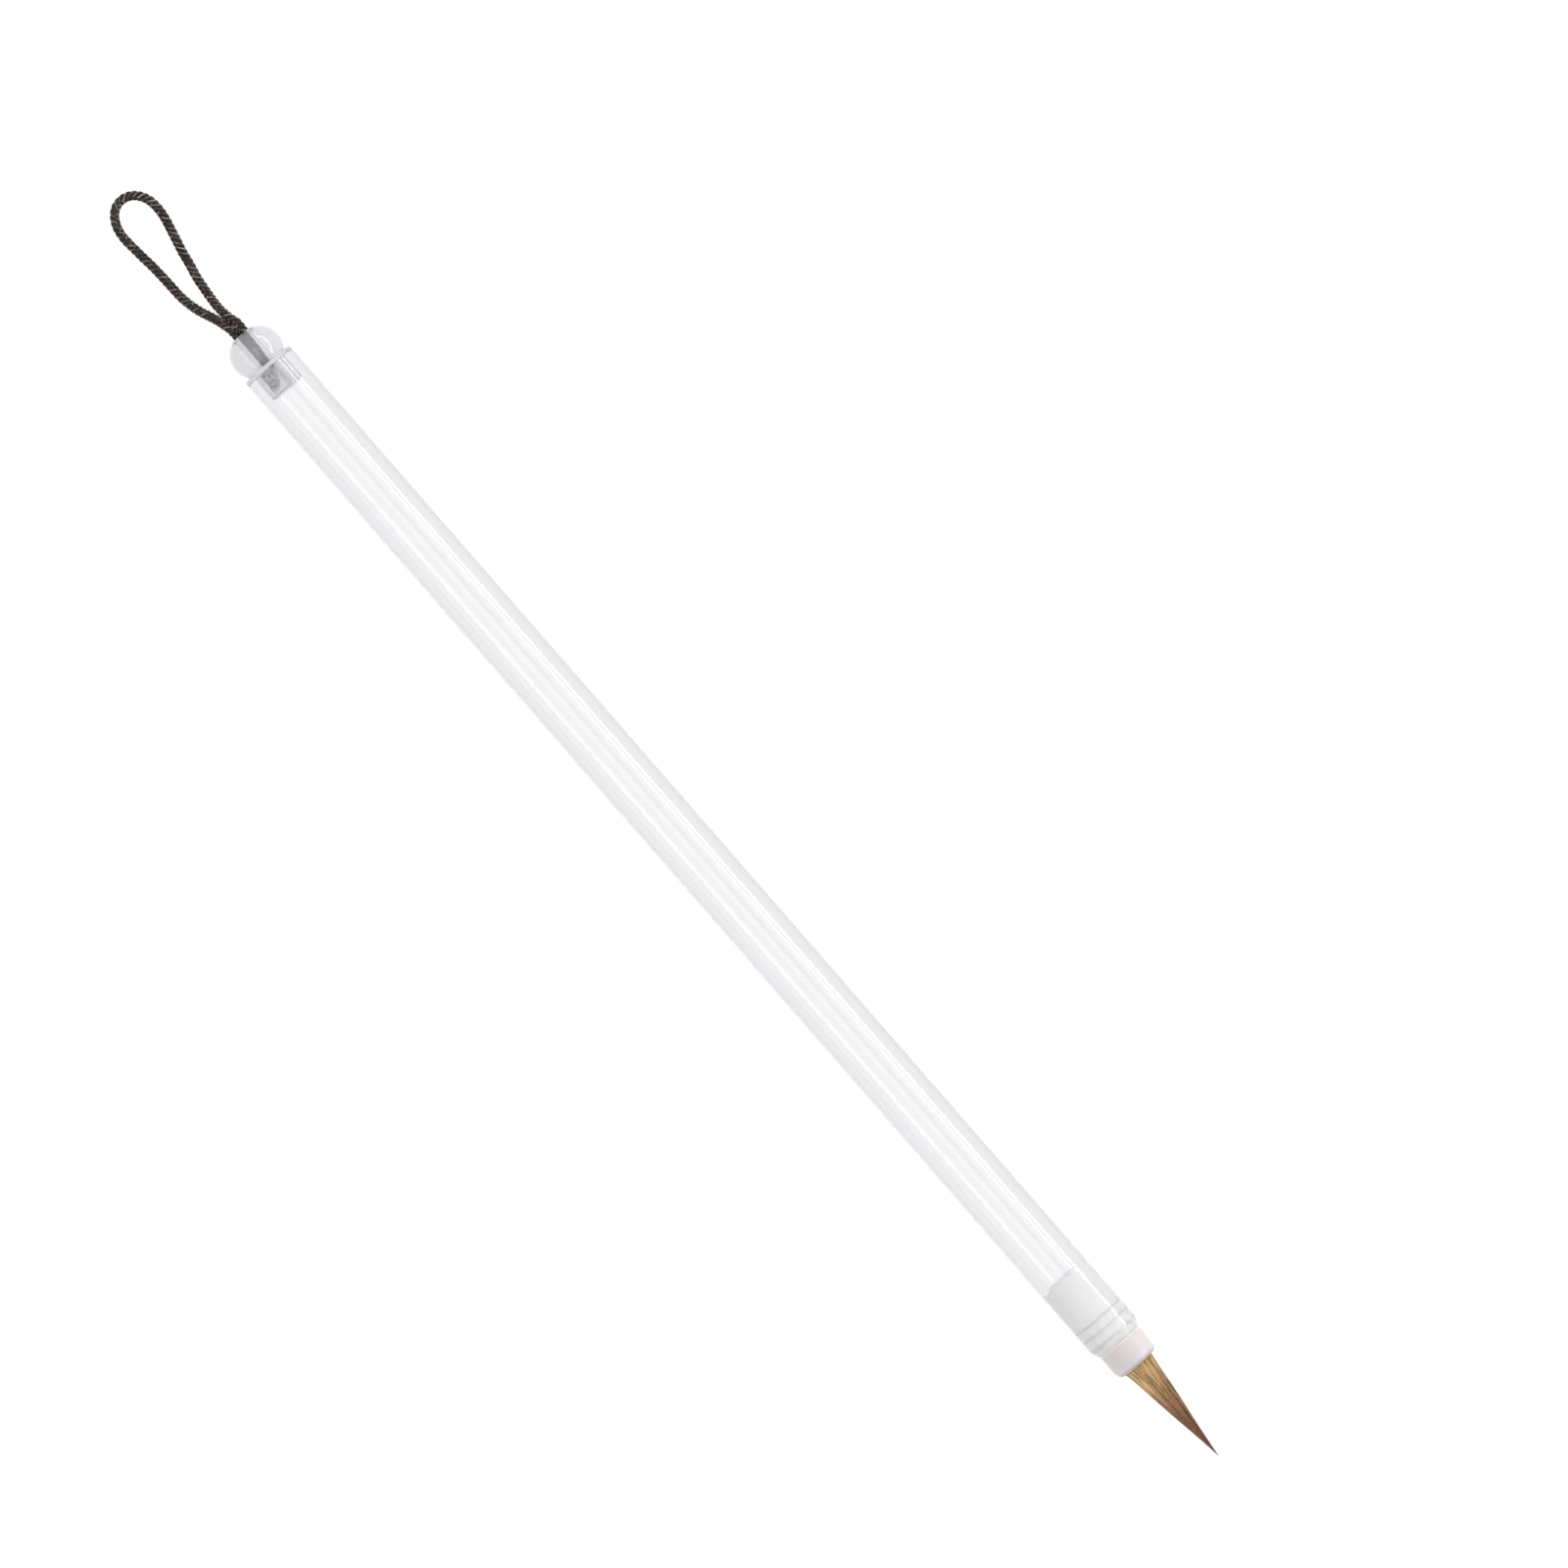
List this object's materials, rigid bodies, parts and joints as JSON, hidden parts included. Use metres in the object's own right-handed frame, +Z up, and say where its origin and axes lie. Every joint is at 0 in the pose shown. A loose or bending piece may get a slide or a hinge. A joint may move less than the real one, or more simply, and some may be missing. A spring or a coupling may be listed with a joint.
{
  "type": "calligraphy brush",
  "caption": "Slim round brush with a clear hollow handle, a milky ferrule with a tapered hair tuft, and a pull-out ball-headed end plug on a braided hanging loop.",
  "frame": {"origin": "on the surface that the brush lies on, under the middle of the brush without its cord", "axes": "+X along the brush from the plug to the point of the hair, +Z up from the surface, the brush's own axis 4.5 mm above it"},
  "size_m": [0.2604, 0.0091, 0.009],
  "materials": {
    "clear_acrylic": "polished clear, colourless",
    "clear_plastic": "moulded clear, glossy",
    "milky_plastic": "milky translucent, satin",
    "brown_cord": "round braided cord, dark brown",
    "adhesive": "set clear adhesive",
    "outer_hair": "golden tan animal hair",
    "core_hair": "reddish brown animal hair",
    "thread": "wound cotton thread"
  },
  "bodies": {
    "handle": {"handle_tube": "clear_acrylic", "ferrule": "milky_plastic", "spigot_adhesive": "adhesive", "root_adhesive": "adhesive", "tuft_root": "outer_hair", "binding_thread": "thread"},
    "plug": {"end_plug": "clear_plastic"},
    "cord": {"cord_neck": "brown_cord", "cord_knot": "brown_cord"},
    "loop": {"hanging_loop": "brown_cord"},
    "tuft": {"tuft_core": "core_hair", "tuft_mantle": "outer_hair"}
  },
  "joints": [
    {"name": "plug_pull", "type": "slide", "parent": "handle", "child": "plug", "axis": [-1, 0, 0], "range_m": [0, 0.015]},
    {"name": "cord_turn", "type": "hinge", "parent": "plug", "child": "cord", "pos_m": [-0.10951, 0, 0.0045], "axis": [1, 0, 0], "continuous": true},
    {"name": "loop_swing", "type": "hinge", "parent": "cord", "child": "loop", "pos_m": [-0.11669, 0, 0.0045], "axis": [0, 1, 0], "range_deg": [0, 80]},
    {"name": "tuft_flex", "type": "hinge", "parent": "handle", "child": "tuft", "pos_m": [0.09659, 0, 0.0045], "axis": [0, 0, 1], "range_deg": [-30, 30], "stiffness_Nm_per_rad": 0.001}
  ]
}
